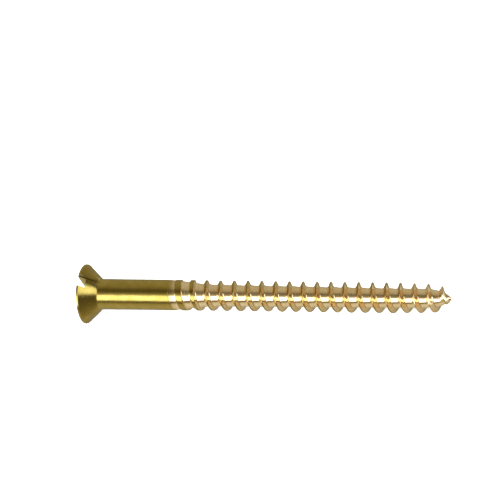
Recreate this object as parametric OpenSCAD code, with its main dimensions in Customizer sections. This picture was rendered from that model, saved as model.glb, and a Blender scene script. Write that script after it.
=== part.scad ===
// Slotted countersunk wood screw, drawn lying down along +X.
// The centre of the head's flat top is the origin and the tip is at +X.
// The real screw is one piece of metal. Its four regions are drawn as separate
// solids that meet face to face: head, plain shank, threaded body and point.

/* [Main sizes] */

// Overall length, from the flat top of the head to the tip
length = 50; // [40:0.5:60]
// Diameter of the plain shank and of the thread's crest
shank_d = 4.0; // [3.6:0.1:4.4]
// Distance from the flat top to the place where the thread begins
plain_l = 11; // [6:0.5:18]

/* [Head] */

// Diameter of the head's flat top
head_d = 7.8; // [7:0.1:9]
// Height of the narrow straight rim around the flat top
rim_h = 0.25; // [0.15:0.05:0.6]
// Bevel on the outer edge of the flat top
rim_bevel = 0.1; // [0.02:0.01:0.12]
// Full angle of the countersunk cone, in degrees
cone_angle = 86; // [82:1:96]
// Radius of the fillet where the cone runs into the shank
neck_fillet_r = 0.6; // [0.2:0.1:1]
// Width of the straight driver slot
slot_w = 1.2; // [0.8:0.1:1.6]
// Depth of the slot below the flat top
slot_depth = 0.95; // [0.6:0.05:1.2]
// Turn of the slot about the axis, where 0 stands it upright along Z
slot_turn = 0; // [-90:1:90]

/* [Thread] */

// Distance between neighbouring crests, along the axis
pitch = 1.88; // [1.6:0.02:2.2]
// Length over which the groove deepens from nothing to its full depth
run_in_l = 7; // [4:0.5:10]
// Diameter of the core where the groove has reached its full depth
core_d = 2.8; // [2.5:0.05:3]
// Diameter of the core where the point begins
core_end_d = 2.4; // [2:0.05:2.5]
// Flat width of the crest, as a share of the pitch
crest_share = 0.08; // [0.04:0.01:0.14]
// Flat width of the groove's floor, as a share of the pitch
floor_share = 0.54; // [0.4:0.02:0.6]
// Rise of the groove's floor toward the head, as a share of the thread's depth
floor_rise = 0.1; // [0:0.02:0.3]
// Place where a crest first meets the plain shank, in degrees about the axis
thread_turn = 10; // [0:1:359]

/* [Point] */

// Length of the gimlet point, over which crest and core both close to the tip
point_l = 8; // [6:0.5:10]
// How late the core closes in, where a higher value is blunter
core_bluntness = 7; // [3:0.5:8]
// The same for the crest, which stays wide for longer
crest_bluntness = 11; // [8:0.5:14]
// Share of the crest's radius that is lost evenly along the point
crest_taper = 0.08; // [0:0.01:0.3]
// Most that the crest stands above the core, as a share of the distance left to the tip
tip_flare = 0.55; // [0.4:0.05:1]

/* [Hidden] */

BRASS = [0.83, 0.68, 0.33];
POLISHED_BRASS = [0.88, 0.77, 0.5];

head_r = head_d / 2;
shank_r = shank_d / 2;
core_r = core_d / 2;
core_end_r = core_end_d / 2;

// The countersunk cone and the fillet below it
cone_half = cone_angle / 2;
cone_end = rim_h + (head_r - shank_r) / tan(cone_half);
fillet_reach = neck_fillet_r * tan(cone_half / 2);
neck_end = cone_end + fillet_reach;

// How far a cutter stands clear of what it cuts
CLEAR = 1;

// Each flank meets the groove's floor through a softened corner, which begins this
// share of the way up the flank and ends this share of the pitch out on the floor
CORNER_UP = 0.2;
CORNER_OUT = 0.04;
half_crest = crest_share / 2;
flank = (1 - crest_share - floor_share) / 2;
foot = half_crest + flank * (1 - CORNER_UP);
floor_edge = half_crest + flank + CORNER_OUT;
// The thread's ridge, from the middle of one crest to the next.
// Each pair is a share of the pitch and a height, 0 on the floor and 1 on the crest.
RIDGE = [
    [half_crest, 1],
    [foot, mix(floor_rise, 1, CORNER_UP)],
    [floor_edge, floor_rise],
    [1 - floor_edge, 0],
    [1 - foot, CORNER_UP],
    [1 - half_crest, 1]
];
RIDGE_HEIGHT = concat([[0, 1]], RIDGE, [[1, 1]]);

// The threaded surface is a net of COLS lines along the axis, crossed by the
// ridge's edges, which move on by one pitch in each turn.
COLS = 36;
EDGES = len(RIDGE);
// The net begins this many turns early, so that every line starts before the solid
EARLY_TURNS = 2;
turns = EARLY_TURNS + ceil((length - plain_l) / pitch) + 1;
LAST_EDGE = EDGES * turns;
// An edge closer than this to the end of a solid is merged with the end
MERGE = 0.02 * pitch;
// Where the groove begins, its flanks keep at least this share of their full width
LEAST_FLANK = 0.2;

run_in_end = plain_l + run_in_l;
point_start = length - point_l;

function mix(a, b, t) = a + (b - a) * t;
function share(x, from, to) = min(1, max(0, (x - from) / (to - from)));
function eased(t) = t * t * (3 - 2 * t);

// Depth of the groove, as a share of its full depth
function cut(x) = eased(share(x, plain_l, run_in_end));

// Radius of the full core, then as narrowed by the point
function slim_core(x) = mix(core_r, core_end_r, share(x, run_in_end, point_start));
function core_at(x) =
    mix(shank_r, slim_core(x), cut(x))
    * (1 - pow(share(x, point_start, length), core_bluntness));

// Radius of the crest, then as narrowed by the point
function crest_at(x) =
    let (t = share(x, point_start, length))
    min(
        shank_r * (1 - mix(pow(t, crest_bluntness), t, crest_taper)),
        core_at(x) + tip_flare * (length - x)
    );

function radius_at(x, height) = mix(core_at(x), crest_at(x), height);

// Place of an edge within its pitch. The flanks keep their slope, so where the groove
// is still shallow they are narrow and the crest between them is a broad band.
function drawn_in(s, x) =
    let (keep = max(LEAST_FLANK, cut(x)))
    s < 0.5 ? mix(floor_edge, s, keep) : mix(1 - floor_edge, s, keep);

// Where edge e crosses line c, along the axis
function edge_x(c, e) =
    let (
        before = floor(e / EDGES) - EARLY_TURNS + c / COLS,
        s = RIDGE[e % EDGES][0]
    )
    plain_l + pitch * (before + drawn_in(s, plain_l + pitch * (before + s)));

// Share of the pitch between the last crest and the place x, on line c
function phase(c, x) =
    let (p = (x - plain_l) / pitch - c / COLS) p - floor(p);

function on_line(c, x, r) =
    let (a = thread_turn + 360 * c / COLS) [x, r * cos(a), r * sin(a)];

function end_corner(c, x) =
    on_line(c, x, radius_at(x, lookup(phase(c, x), RIDGE_HEIGHT)));

// One stretch of the threaded surface from x = from to x = to, closed at both ends
module threaded_stretch(from, to) {
    sharp = to >= length;
    row = LAST_EDGE + 2;
    corners = [
        for (c = [0:COLS - 1])
            for (e = [-1:LAST_EDGE])
                e < 0 ? end_corner(c, from)
                : e == LAST_EDGE ? end_corner(c, to)
                : on_line(c, edge_x(c, e), radius_at(edge_x(c, e), RIDGE[e % EDGES][1]))
    ];

    function from_id(c) = c * row;
    function to_id(c) = (sharp ? 0 : c * row) + row - 1;
    // The line after the last is the first one again, one turn further on
    function corner_id(c, e) =
        c == COLS ? corner_id(0, e + EDGES)
        : edge_x(c, e) <= from + MERGE ? from_id(c)
        : edge_x(c, e) >= to - MERGE ? to_id(c)
        : c * row + 1 + e;

    net = [
        for (c = [0:COLS - 1])
            for (e = [0:LAST_EDGE - 2])
                let (
                    p = corner_id(c, e),
                    q = corner_id(c, e + 1),
                    r = corner_id(c + 1, e + 1),
                    s = corner_id(c + 1, e)
                )
                each [[p, q, r], [p, r, s]]
    ];
    skin = [for (f = net) if (f[0] != f[1] && f[1] != f[2] && f[2] != f[0]) f];
    from_face = [for (c = [0:COLS - 1]) from_id(c)];
    to_face = [for (c = [COLS - 1:-1:0]) to_id(c)];

    polyhedron(corners, concat(skin, [from_face], sharp ? [] : [to_face]));
}

// Half section of the head, with the radius across and the axis upward
module head_section() {
    difference() {
        polygon([
            [0, 0],
            [head_r - rim_bevel, 0],
            [head_r, rim_bevel],
            [head_r, rim_h],
            [shank_r + fillet_reach * sin(cone_half), cone_end - fillet_reach * cos(cone_half)],
            [shank_r, neck_end],
            [0, neck_end]
        ]);
        translate([shank_r + neck_fillet_r, neck_end])
            circle(r = neck_fillet_r, $fn = 96);
    }
}

// Countersunk head with its driver slot
module head() {
    color(BRASS)
        difference() {
            rotate([0, 90, 0])
                rotate_extrude($fn = 128)
                    head_section();
            rotate([slot_turn, 0, 0])
                translate([-CLEAR, -slot_w / 2, -head_r - CLEAR])
                    cube([slot_depth + CLEAR, slot_w, head_d + 2 * CLEAR]);
        }
}

// Plain round shank between the head and the thread
module shank() {
    color(BRASS)
        translate([neck_end, 0, 0])
            rotate([0, 90, 0])
                cylinder(r = shank_r, h = plain_l - neck_end, $fn = 128);
}

// Threaded body, its groove deepening from the shank
module thread() {
    color(POLISHED_BRASS)
        threaded_stretch(plain_l, point_start);
}

// Gimlet point, where the thread runs out to the tip
module point() {
    color(POLISHED_BRASS)
        threaded_stretch(point_start, length);
}

head();
shank();
thread();
point();
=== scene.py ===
"""Looks of the slotted countersunk brass wood screw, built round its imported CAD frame."""
import math

import bmesh
import bpy
import numpy as np
from mathutils import Matrix, Vector


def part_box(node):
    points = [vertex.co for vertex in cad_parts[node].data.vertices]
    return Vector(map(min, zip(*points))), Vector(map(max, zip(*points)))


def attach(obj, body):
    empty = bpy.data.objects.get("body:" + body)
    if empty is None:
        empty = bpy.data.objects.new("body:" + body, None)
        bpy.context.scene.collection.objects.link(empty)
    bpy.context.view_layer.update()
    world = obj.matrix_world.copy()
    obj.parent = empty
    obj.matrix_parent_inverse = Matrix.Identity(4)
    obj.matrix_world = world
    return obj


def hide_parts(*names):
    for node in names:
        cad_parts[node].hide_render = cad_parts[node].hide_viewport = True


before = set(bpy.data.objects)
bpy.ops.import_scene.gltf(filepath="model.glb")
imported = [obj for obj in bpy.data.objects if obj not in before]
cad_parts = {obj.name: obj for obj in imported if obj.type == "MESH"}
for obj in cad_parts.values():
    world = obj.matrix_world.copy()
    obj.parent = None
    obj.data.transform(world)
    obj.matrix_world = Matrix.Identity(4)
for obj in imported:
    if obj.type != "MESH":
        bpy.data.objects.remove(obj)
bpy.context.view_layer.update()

MM = 0.001

# ---------------------------------------------------------------- sizes
# Places along the axis and radii, read from the frame, in metres
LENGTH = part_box("point")[1][0]
POINT_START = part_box("point")[0][0]
THREAD_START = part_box("thread")[0][0]
NECK_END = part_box("shank")[0][0]
SHANK_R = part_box("shank")[1][1]
HEAD_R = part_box("head")[1][1]

# The rest repeats the design's own values, with its sharp edges softened
RIM_H = 0.25 * MM
RIM_TOP_ROUND = 0.11 * MM
RIM_LOW_ROUND = 0.25 * MM
CONE_HALF = math.radians(43)
NECK_FILLET_R = 0.6 * MM
SLOT_W = 1.2 * MM
SLOT_DEPTH = 0.95 * MM
SLOT_EDGE_ROUND = 0.07 * MM
SLOT_FLOOR_ROUND = 0.1 * MM

PITCH = 1.88 * MM
RUN_IN = 7 * MM
CORE_R = 1.4 * MM
CORE_END_R = 1.2 * MM
HALF_CREST = 0.04
FLOOR_SHARE = 0.54
FLOOR_RISE = 0.1
FLANK = (1 - 2 * HALF_CREST - FLOOR_SHARE) / 2
THREAD_TURN = math.radians(10)
CORE_BLUNTNESS = 7
CREST_BLUNTNESS = 11
CREST_TAPER = 0.08
TIP_FLARE = 0.55
# Where the groove begins, its flanks keep at least this share of their full width
LEAST_FLANK = 0.2
# The flanks reach this share of the pitch further out, for their softened foot
CORNER_OUT = 0.04
# How far the ridge's corners are softened, as a share of its height
CREST_SOFTNESS = 0.12
FLOOR_SOFTNESS = 0.3

# Lines round the axis in every turned or threaded piece
AROUND = 144
# The thread's net crosses each pitch at these shares of it, up to the middle of the groove
# and then mirrored. They lie closest together where the ridge turns.
HALF_STATIONS = (
    0, 0.022, 0.034, 0.042, 0.05, 0.06, 0.085, 0.12, 0.155, 0.185, 0.205, 0.222,
    0.238, 0.254, 0.27, 0.29, 0.32, 0.37, 0.43,
)
# The net begins this many turns early, so that every line starts before the thread
EARLY_TURNS = 2
# A crossing closer than this to the end of the thread is merged with the end
MERGE = 0.02 * PITCH
SHARP_ANGLE = math.radians(50)
# The head piece reaches this far onto the plain shank
STUB = 0.25 * MM
# Gap between a piece's last two rings, so that the edge of its cap doesn't shade its side
RING_GAP = 0.01 * MM


# ---------------------------------------------------------------- meshes
def new_object(name, verts, faces):
    mesh = bpy.data.meshes.new(name)
    mesh.from_pydata([tuple(v) for v in verts], [], [tuple(f) for f in faces])
    mesh.validate()
    obj = bpy.data.objects.new(name, mesh)
    bpy.context.scene.collection.objects.link(obj)
    return obj


def finish_mesh(obj):
    """Faces turned outward and shaded smooth, with only the true edges sharp."""
    bm = bmesh.new()
    bm.from_mesh(obj.data)
    bmesh.ops.recalc_face_normals(bm, faces=bm.faces)
    for f in bm.faces:
        f.smooth = True
    bm.to_mesh(obj.data)
    bm.free()
    obj.data.set_sharp_from_angle(angle=SHARP_ANGLE)


def around(angle):
    """Directions square to the axis, at each angle from +Y toward +Z."""
    return np.stack([np.cos(angle), np.sin(angle)], axis=-1)


def lathe(name, profile):
    """A closed solid turned about the X axis from (place along the axis, radius) pairs."""
    turn = THREAD_TURN + np.arange(AROUND) * 2 * math.pi / AROUND
    ring = around(turn)
    verts, rows = [], []
    for x, r in profile:
        if r == 0:
            rows.append([len(verts)] * AROUND)
            verts.append((x, 0, 0))
        else:
            rows.append(list(range(len(verts), len(verts) + AROUND)))
            verts.extend((x, r * y, r * z) for y, z in ring)
    faces = []
    for a, b in zip(rows, rows[1:]):
        for i in range(AROUND):
            j = (i + 1) % AROUND
            corners = list(dict.fromkeys([a[i], a[j], b[j], b[i]]))
            if len(corners) > 2:
                faces.append(corners)
    return new_object(name, verts, faces)


def arc(centre, radius, start, end, steps):
    """Points on an arc in the section plane, angles from the axis toward the radius."""
    turns = np.linspace(start, end, steps + 1)
    return [(centre[0] + radius * math.cos(t), centre[1] + radius * math.sin(t)) for t in turns]


def head_profile():
    """Section of the head: flat top, softened rim, cone, neck fillet and a stub of shank."""
    quarter = math.pi / 2
    flat = [(0, share_out * HEAD_R) for share_out in (0, 0.15, 0.35, 0.55, 0.75, 0.9)]
    top_centre = (RIM_TOP_ROUND, HEAD_R - RIM_TOP_ROUND)
    top_edge = arc(top_centre, RIM_TOP_ROUND, 2 * quarter, quarter, 6)
    # The lower rim edge is rounded between the straight rim and the cone
    reach = RIM_LOW_ROUND * math.tan(CONE_HALF / 2)
    low_centre = (RIM_H - reach, HEAD_R - RIM_LOW_ROUND)
    low_edge = arc(low_centre, RIM_LOW_ROUND, quarter, quarter - CONE_HALF, 6)
    fillet_centre = (NECK_END, SHANK_R + NECK_FILLET_R)
    fillet = arc(fillet_centre, NECK_FILLET_R, -quarter - CONE_HALF, -quarter, 14)
    cone = [
        tuple(np.array(low_edge[-1]) * (1 - t) + np.array(fillet[0]) * t)
        for t in (0.2, 0.4, 0.6, 0.8)
    ]
    stub_end = NECK_END + STUB
    stub = [(x, SHANK_R) for x in (NECK_END + STUB / 2, stub_end - RING_GAP, stub_end)]
    return flat + top_edge + low_edge + cone + fillet + stub + [(stub_end, 0)]


def slot_cutter():
    """A bar along Z whose section is the slot: rounded floor corners and softened mouth."""
    half = SLOT_W / 2
    quarter = math.pi / 2
    clear = 1 * MM
    floor_corner = arc(
        (SLOT_DEPTH - SLOT_FLOOR_ROUND, half - SLOT_FLOOR_ROUND), SLOT_FLOOR_ROUND, 0, quarter, 5
    )
    mouth = arc(
        (SLOT_EDGE_ROUND, half + SLOT_EDGE_ROUND), SLOT_EDGE_ROUND, -quarter, -2 * quarter, 5
    )
    side = floor_corner + mouth + [(-clear, half + SLOT_EDGE_ROUND)]
    section = side + [(x, -y) for x, y in reversed(side)]
    reach = HEAD_R + clear
    count = len(section)
    verts = [(x, y, -reach) for x, y in section] + [(x, y, reach) for x, y in section]
    faces = [[i, (i + 1) % count, count + (i + 1) % count, count + i] for i in range(count)]
    faces += [list(range(count)), list(range(2 * count - 1, count - 1, -1))]
    return new_object("slot_cutter", verts, faces)


def make_head():
    """The turned head with the slot cut out of it."""
    obj = lathe("head_metal", head_profile())
    finish_mesh(obj)
    cutter = slot_cutter()
    finish_mesh(cutter)
    cut = obj.modifiers.new("slot", "BOOLEAN")
    cut.operation, cut.solver, cut.object = "DIFFERENCE", "EXACT", cutter
    shape = obj.evaluated_get(bpy.context.evaluated_depsgraph_get())
    mesh = bpy.data.meshes.new_from_object(shape)
    obj.modifiers.clear()
    old, obj.data = obj.data, mesh
    bpy.data.meshes.remove(old)
    bpy.data.objects.remove(cutter)
    finish_mesh(obj)
    even = obj.modifiers.new("even_shading", "WEIGHTED_NORMAL")
    even.keep_sharp = True
    return obj


def make_shank():
    """The plain shank, from the head piece to the thread."""
    start, end = NECK_END + STUB, THREAD_START
    places = [start, *np.linspace(start + RING_GAP, end - RING_GAP, 24), end]
    obj = lathe("shank_metal", [(start, 0)] + [(x, SHANK_R) for x in places] + [(end, 0)])
    finish_mesh(obj)
    return obj


def share(x, start, end):
    return np.clip((x - start) / (end - start), 0, 1)


def mix(a, b, t):
    return a + (b - a) * t


def cut(x):
    """Depth of the groove, as a share of its full depth."""
    t = share(x, THREAD_START, THREAD_START + RUN_IN)
    return t * t * (3 - 2 * t)


def core_at(x):
    """Radius of the core."""
    slim = mix(CORE_R, CORE_END_R, share(x, THREAD_START + RUN_IN, POINT_START))
    return mix(SHANK_R, slim, cut(x)) * (1 - share(x, POINT_START, LENGTH) ** CORE_BLUNTNESS)


def crest_at(x):
    """Radius of the crest."""
    t = share(x, POINT_START, LENGTH)
    wide = SHANK_R * (1 - mix(t**CREST_BLUNTNESS, t, CREST_TAPER))
    return np.minimum(wide, core_at(x) + TIP_FLARE * (LENGTH - x))


def soft_min(a, b, softness):
    """The lesser of two values, rounded off where they are closer than the softness."""
    near = np.maximum(softness - np.abs(a - b), 0) / softness
    return np.minimum(a, b) - near * near * softness / 4


def ridge_height(place):
    """Height of the ridge, 0 on the groove's floor and 1 on the crest, for places given as
    shares of the pitch past a crest. The floor rises a little toward the head."""
    aside = np.abs((place + 0.5) % 1 - 0.5)
    floor = FLOOR_RISE * (1 - share(place % 1, 0.5 - FLOOR_SHARE / 2, 0.5 + FLOOR_SHARE / 2))
    slope = (HALF_CREST + FLANK - aside) / FLANK
    return -soft_min(-soft_min(slope, 1, CREST_SOFTNESS), -floor, FLOOR_SOFTNESS)


def drawn_in(place, x):
    """Moves a place on a flank toward the floor where the groove is still shallow, so that
    the flanks keep their slope and the crest between them is a broad band."""
    foot = HALF_CREST + FLANK + CORNER_OUT
    keep = np.maximum(LEAST_FLANK, cut(x))
    low = np.where(place < foot, mix(foot, place, keep), place)
    return np.where(place > 1 - foot, mix(1 - foot, place, keep), low)


def make_thread():
    """The threaded body and point: a net of lines along the axis, crossed by the ridge's
    edges, which move on by one pitch in each turn."""
    half = np.array(HALF_STATIONS)
    stations = np.concatenate([half, [0.5], 1 - half[:0:-1]])
    edges = len(stations)
    turns = EARLY_TURNS + math.ceil((LENGTH - THREAD_START) / PITCH) + 2
    last = edges * turns

    def points(line, x, height):
        r = mix(core_at(x), crest_at(x), height)
        d = around(THREAD_TURN + 2 * math.pi * line / AROUND)
        return np.stack([x, r * d[..., 0], r * d[..., 1]], axis=-1)

    line, edge = np.meshgrid(np.arange(AROUND), np.arange(last), indexing="ij")
    before = edge // edges - EARLY_TURNS + line / AROUND
    place = stations[edge % edges]
    x = THREAD_START + PITCH * (before + drawn_in(place, THREAD_START + PITCH * (before + place)))
    net = points(line, x, ridge_height(place)).reshape(-1, 3)
    rim_line = np.arange(AROUND)
    start = points(rim_line, np.full(AROUND, THREAD_START), 0)
    tip = np.array([[LENGTH, 0, 0]])
    verts = np.concatenate([net, start, tip])
    first_rim, tip_id = len(net), len(net) + AROUND

    ids = line * last + edge
    ids = np.where(x <= THREAD_START + MERGE, first_rim + line, ids)
    ids = np.where(x >= LENGTH - MERGE, tip_id, ids)
    # The line after the last is the first one again, one turn further on
    beyond = np.concatenate([ids[0, edges:], np.full(edges, tip_id)])
    ids = np.concatenate([ids, beyond[None]])
    quads = np.stack([ids[:-1, :-1], ids[:-1, 1:], ids[1:, 1:], ids[1:, :-1]], axis=-1)
    faces = []
    for q in quads.reshape(-1, 4).tolist():
        corners = list(dict.fromkeys(q))
        if len(corners) > 2:
            faces.append(corners)
    faces.append((first_rim + rim_line).tolist())

    used = np.unique(np.concatenate([np.array(f) for f in faces]))
    fresh = np.zeros(len(verts), int)
    fresh[used] = np.arange(len(used))
    obj = new_object("thread_metal", verts[used], [fresh[f].tolist() for f in faces])
    finish_mesh(obj)
    return obj


# ---------------------------------------------------------------- materials
class Nodes:
    """A node tree being wired, with short calls for the nodes used here."""

    def __init__(self, tree):
        self.tree = tree
        tree.nodes.clear()

    def add(self, kind, **settings):
        node = self.tree.nodes.new(kind)
        for key, value in settings.items():
            setattr(node, key, value)
        return node

    def link(self, source, target):
        self.tree.links.new(source, target)

    def math(self, operation, a, b=None, c=None):
        node = self.add("ShaderNodeMath", operation=operation)
        for socket, value in zip(node.inputs, (a, b, c)):
            if value is None:
                continue
            if isinstance(value, (int, float)):
                socket.default_value = value
            else:
                self.link(value, socket)
        return node.outputs[0]

    def noise(self, vector, scale, detail=4, roughness=0.55):
        node = self.add("ShaderNodeTexNoise")
        node.inputs["Scale"].default_value = scale
        node.inputs["Detail"].default_value = detail
        node.inputs["Roughness"].default_value = roughness
        self.link(vector, node.inputs["Vector"])
        return node.outputs["Fac"]

    def stretched(self, vector, factors):
        node = self.add("ShaderNodeVectorMath", operation="MULTIPLY")
        self.link(vector, node.inputs[0])
        node.inputs[1].default_value = factors
        return node.outputs[0]

    def multiply(self, a, b):
        node = self.add("ShaderNodeVectorMath", operation="MULTIPLY")
        self.link(a, node.inputs[0])
        self.link(b, node.inputs[1])
        return node.outputs[0]

    def between(self, value, low, high, to_low, to_high):
        node = self.add("ShaderNodeMapRange")
        for name, number in (
            ("From Min", low), ("From Max", high), ("To Min", to_low), ("To Max", to_high)
        ):
            node.inputs[name].default_value = number
        self.link(value, node.inputs["Value"])
        return node.outputs["Result"]

    def blend(self, factor, a, b):
        node = self.add("ShaderNodeMix", data_type="RGBA")
        self.link(factor, node.inputs["Factor"])
        for socket, value in ((node.inputs[6], a), (node.inputs[7], b)):
            if isinstance(value, tuple):
                socket.default_value = (*value, 1)
            else:
                self.link(value, socket)
        return node.outputs[2]


# Two drifting tones of each metal and the stain in its recesses, then its roughness range
SKIN = {"bright": (0.52, 0.36, 0.09), "deep": (0.44, 0.295, 0.06), "stain": (0.2, 0.13, 0.02)}
CUT = {"bright": (0.92, 0.7, 0.42), "deep": (0.9, 0.61, 0.31), "stain": (0.36, 0.21, 0.09)}
SKIN_ROUGH = (0.16, 0.3)
CUT_ROUGH = (0.06, 0.15)
# Share of the light that the cut metal mirrors, its fine scratches scattering the rest
CUT_MIRROR = 0.975
# Depth in mm below the drawn surface where the skin begins to give way and is gone
SKIN_DEPTHS = (0.02, 0.1)
WORN_EDGE = (0.95, 0.85, 0.6)
# Colour of the painted shade: a dark line on the cone along the slot's +Y edge
SLOT_EDGE_PAINTED_SHADE = (0.09, 0.05, 0.01)
BUMP_DEPTH = 0.006 * MM


def painted_shade_beside_slot(n, in_mm):
    """A mask for painted shade: a dark line painted on the cone beside the slot's +Y edge, widest
    at the neck.
    """
    place = n.add("ShaderNodeSeparateXYZ")
    n.link(in_mm, place.inputs[0])
    along, aside = place.outputs["X"], place.outputs["Y"]
    past_edge = n.math("SUBTRACT", aside, SLOT_W / 2 / MM)
    reach = n.math("MULTIPLY_ADD", along, 0.22, 0.14)
    outside = n.between(past_edge, 0.005, 0.03, 0, 1)
    fading = n.between(n.math("DIVIDE", past_edge, reach), 0.3, 1, 1, 0)
    before_shank = n.between(along, 1.6, 2.6, 0.8, 0)
    return n.math("MULTIPLY", n.math("MULTIPLY", outside, fading), before_shank)


def cut_metal(n, in_mm, patches):
    """A mask for the metal cut below the drawn skin, with a ragged edge."""
    flat = n.add("ShaderNodeVectorMath", operation="LENGTH")
    n.link(n.stretched(in_mm, (0, 1, 1)), flat.inputs[0])
    depth = n.math("SUBTRACT", SHANK_R / MM, flat.outputs["Value"])
    ragged = n.math("ADD", depth, n.between(patches, 0.25, 1, -0.01, 0.01))
    return n.between(ragged, *SKIN_DEPTHS, 0, 1)


def brass(name, cut_below_skin):
    """Bare brass. The drawn skin is deep and satin, the metal cut below it pale and bright.
    Stain gathers in the recesses, and fine turning marks run round the axis."""
    mat = bpy.data.materials.new(name)
    mat.use_nodes = True
    n = Nodes(mat.node_tree)
    where = n.add("ShaderNodeTexCoord").outputs["Object"]
    in_mm = n.stretched(where, (1 / MM, 1 / MM, 1 / MM))
    drift = n.noise(in_mm, 0.9, detail=5)
    patches = n.between(n.noise(in_mm, 2.4, detail=6), 0.4, 0.7, 0.25, 1)
    bend = n.add("ShaderNodeNewGeometry").outputs["Pointiness"]
    stained = n.math("MULTIPLY", n.between(bend, 0.44, 0.49, 1, 0), patches)

    def tone(metal):
        plain = n.blend(n.between(drift, 0.35, 0.65, 0, 1), metal["bright"], metal["deep"])
        return n.blend(stained, plain, metal["stain"])

    rings = n.noise(n.stretched(in_mm, (9, 0.3, 0.3)), 1.0, detail=6, roughness=0.7)
    gloss = n.math("ADD", n.math("MULTIPLY", rings, 0.6), n.math("MULTIPLY", drift, 0.4))
    colour, rough = tone(SKIN), n.between(gloss, 0.3, 0.7, *SKIN_ROUGH)
    if cut_below_skin:
        cut_here = cut_metal(n, in_mm, patches)
        colour = n.blend(cut_here, colour, tone(CUT))
        cut_gloss = n.between(gloss, 0.3, 0.7, *CUT_ROUGH)
        ease = n.add("ShaderNodeMix", data_type="FLOAT")
        n.link(cut_here, ease.inputs["Factor"])
        n.link(rough, ease.inputs[2])
        n.link(cut_gloss, ease.inputs[3])
        rough = ease.outputs[0]
    else:
        colour = n.blend(n.between(bend, 0.53, 0.62, 0, 0.4), colour, WORN_EDGE)
        # Painted shade: a dark line painted on the cone along the slot's +Y edge, fading toward
        # the shank
        colour = n.blend(painted_shade_beside_slot(n, in_mm), colour, SLOT_EDGE_PAINTED_SHADE)

    specks = n.noise(in_mm, 14, detail=3)
    waves = n.noise(n.stretched(in_mm, (0.8, 2, 2)), 1.0, detail=2)
    fine = n.math("ADD", n.math("MULTIPLY", rings, 0.6), n.math("MULTIPLY", specks, 0.15))
    height = n.math("ADD", fine, n.math("MULTIPLY", waves, 2.5))
    bump = n.add("ShaderNodeBump")
    bump.inputs["Strength"].default_value = 0.5
    bump.inputs["Distance"].default_value = BUMP_DEPTH
    n.link(height, bump.inputs["Height"])

    shader = n.add("ShaderNodeBsdfPrincipled")
    shader.inputs["Metallic"].default_value = 1
    if cut_below_skin:
        n.link(n.between(cut_here, 0, 1, 1, CUT_MIRROR), shader.inputs["Metallic"])
    n.link(colour, shader.inputs["Base Color"])
    n.link(rough, shader.inputs["Roughness"])
    n.link(bump.outputs["Normal"], shader.inputs["Normal"])
    out = n.add("ShaderNodeOutputMaterial")
    n.link(shader.outputs[0], out.inputs["Surface"])
    return mat


# ---------------------------------------------------------------- the screw
head = make_head()
shank = make_shank()
thread = make_thread()

satin = brass("brass_satin", cut_below_skin=False)
polished = brass("brass_bright", cut_below_skin=True)
for piece, material, nodes, slot in (
    (head, satin, ("head",), "brass_satin"),
    (shank, satin, ("shank",), "brass_satin"),
    (thread, polished, ("thread", "point"), "brass_bright"),
):
    piece.data.materials.clear()
    piece.data.materials.append(material)
    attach(piece, "root")
    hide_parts(*nodes)

# ---------------------------------------------------------------- camera
# The view looks down on the lying screw from its front and from the point's side
SIGHT_RISE = math.radians(64)
SIGHT_YAW = math.radians(18.5)
DISTANCE = 0.9
FRAME_WIDTH = 64.75 * MM
DIP = 0.0108
MIDDLE_RIGHT = 0.0346
MIDDLE_DOWN = 0.0924

axis = Vector((1, 0, 0))
sight = Vector((0, -math.cos(SIGHT_RISE), math.sin(SIGHT_RISE)))
up = Vector((0, math.sin(SIGHT_RISE), math.cos(SIGHT_RISE)))
back = axis * math.sin(SIGHT_YAW) + sight * math.cos(SIGHT_YAW)
right = up.cross(back)
level = Matrix.Rotation(math.atan(DIP), 3, back)
right, above = level @ right, level @ up

middle = axis * (LENGTH / 2)
target = middle - right * (MIDDLE_RIGHT * FRAME_WIDTH) + above * (MIDDLE_DOWN * FRAME_WIDTH)
cam_data = bpy.data.cameras.new("camera")
cam_data.sensor_width = 36
cam_data.lens = cam_data.sensor_width * DISTANCE / FRAME_WIDTH
cam_data.clip_start, cam_data.clip_end = 0.01, 10
camera = bpy.data.objects.new("camera", cam_data)
bpy.context.scene.collection.objects.link(camera)
turned = Matrix((right, above, back)).transposed().to_4x4()
camera.matrix_world = Matrix.Translation(target + back * DISTANCE) @ turned
bpy.context.scene.camera = camera

# ---------------------------------------------------------------- stage and light
SOFT_BOX_SIZE = 1.2
SOFT_BOX_ABOVE = 0.8
SOFT_BOX_POWER = 18


def overhead_light():
    """A broad soft light straight above the screw, which its metal doesn't mirror."""
    data = bpy.data.lights.new("overhead", "AREA")
    data.shape, data.size, data.size_y = "RECTANGLE", SOFT_BOX_SIZE, SOFT_BOX_SIZE
    data.energy = SOFT_BOX_POWER
    lamp = bpy.data.objects.new("overhead", data)
    lamp.location = middle + Vector((0, 0, SOFT_BOX_ABOVE))
    lamp.visible_camera = False
    lamp.visible_glossy = False
    bpy.context.scene.collection.objects.link(lamp)


# Brightness of the studio round the screw's axis, by degrees from the sight line toward
# the top of the view: a broad window just below the sight line, with a dark edge each side
KEY_LEVEL = 3.2
AROUND_AXIS = [
    (-180, 0.2), (-150, 0.45), (-120, 0.7), (-95, 0.75), (-76, 0.65), (-67, 0.35), (-61, 0.12),
    (-53, 0.15), (-49, 0.5), (-44, KEY_LEVEL), (-10, KEY_LEVEL), (-5, 0.8), (3, 0.45),
    (11, 0.24), (24, 0.13), (36, 0.16), (46, 0.28), (55, 0.38), (75, 0.46), (110, 0.5),
    (150, 0.4), (180, 0.2),
]
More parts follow.
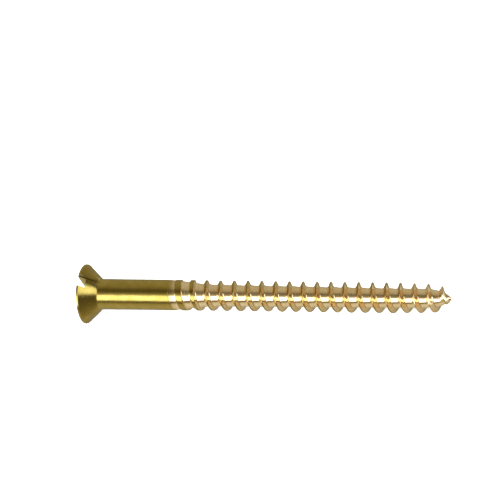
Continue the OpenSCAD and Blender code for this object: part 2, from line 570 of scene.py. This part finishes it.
# The same at the point's end, by height above the sight plane: in front of it and behind
POINT_FRONT = [
    (-1, 0.3), (-0.5, 0.2), (-0.32, 0.12), (-0.05, 0.12), (0.04, 2.5), (0.42, 2.5), (0.5, 0.06),
    (0.62, 0.06), (0.7, 0.15), (0.8, 0.3), (1, 0.3),
]
POINT_BEHIND = [
    (-1, 0.2), (-0.65, 0.22), (-0.45, 0.5), (-0.12, 0.6), (0, 1.6), (0.3, 1.6), (0.4, 0.3),
    (0.5, 0.2), (1, 0.3),
]
# Dim parts of the room are warm and the window is cool
DIM_TINT = (1, 0.93, 0.55)
WINDOW_TINT = (0.9, 1.06, 1.25)


def studio():
    """The light the metal reflects, as a function of direction only."""
    world = bpy.data.worlds.new("studio")
    world.use_nodes = True
    n = Nodes(world.node_tree)
    way = n.add("ShaderNodeTexCoord").outputs["Generated"]

    def part(unit):
        node = n.add("ShaderNodeVectorMath", operation="DOT_PRODUCT")
        n.link(way, node.inputs[0])
        node.inputs[1].default_value = unit
        return node.outputs["Value"]

    def levels(value, stops):
        ramp = n.add("ShaderNodeValToRGB")
        points = ramp.color_ramp.elements
        first, last = stops[0][0], stops[-1][0]
        n.link(n.between(value, first, last, 0, 1), ramp.inputs["Fac"])
        for place, level in stops[1:-1]:
            points.new((place - first) / (last - first))
        for point, (place, level) in zip(points, stops):
            grey = level / KEY_LEVEL
            point.color = (grey, grey, grey, 1)
        return ramp.outputs["Color"]

    along, toward, over = part(axis), part(sight), part(up)
    turn = n.math("DEGREES", n.math("ARCTAN2", over, toward))
    front = n.between(toward, -0.1, 0.1, 0, 1)
    point_end = n.blend(front, levels(over, POINT_BEHIND), levels(over, POINT_FRONT))
    whole = n.blend(n.between(along, 0.3, 0.75, 0, 1), levels(turn, AROUND_AXIS), point_end)
    tint = n.blend(n.between(whole, 0.023, 0.44, 0, 1), DIM_TINT, WINDOW_TINT)
    background = n.add("ShaderNodeBackground")
    n.link(n.multiply(whole, tint), background.inputs["Color"])
    background.inputs["Strength"].default_value = KEY_LEVEL
    out = n.add("ShaderNodeOutputWorld")
    n.link(background.outputs[0], out.inputs["Surface"])
    return world


bpy.context.scene.world = studio()
overhead_light()

# The screw rests on its head's rim and on the thread near the point
REST_HEAD = Vector((0.2, 0, -3.9)) * MM
REST_POINT = Vector((44, 0, -1.95)) * MM
FLOOR_RADIUS = 0.9
SWEEP = 0.4
WALL_TOP = 1.0


def make_backdrop():
    """A round pale floor that sweeps up into a wall, tilted to meet the screw where it rests."""
    quarter = math.pi / 2
    profile = [(r * FLOOR_RADIUS, 0) for r in (0.25, 0.5, 0.75)]
    profile += arc((FLOOR_RADIUS, SWEEP), SWEEP, -quarter, 0, 12)
    profile.append((FLOOR_RADIUS + SWEEP, WALL_TOP))
    turns = np.linspace(0, 2 * math.pi, 96, endpoint=False)
    ring = around(turns)
    count = len(turns)
    verts = [(0, 0, 0)] + [(r * c, r * s, z) for r, z in profile for c, s in ring]
    faces = [(0, 1 + i, 1 + (i + 1) % count) for i in range(count)]
    for k in range(len(profile) - 1):
        low, high = 1 + k * count, 1 + (k + 1) * count
        for i in range(count):
            j = (i + 1) % count
            faces.append((low + i, high + i, high + j, low + j))
    obj = new_object("floor", verts, faces)
    for f in obj.data.polygons:
        f.use_smooth = True
    slope = REST_POINT - REST_HEAD
    tilt = Matrix.Rotation(-math.atan2(slope.z, slope.x), 4, "Y")
    obj.matrix_world = Matrix.Translation(REST_HEAD) @ tilt
    obj.visible_glossy = False
    paint = bpy.data.materials.new("floor_paint")
    paint.use_nodes = True
    shader = paint.node_tree.nodes["Principled BSDF"]
    shader.inputs["Base Color"].default_value = (0.9, 0.9, 0.9, 1)
    shader.inputs["Roughness"].default_value = 0.9
    shader.inputs["Specular IOR Level"].default_value = 0
    shader.inputs["Emission Color"].default_value = (1, 1, 1, 1)
    shader.inputs["Emission Strength"].default_value = 0.3
    obj.data.materials.append(paint)
    return obj


make_backdrop()
bpy.context.scene.view_settings.view_transform = "Standard"
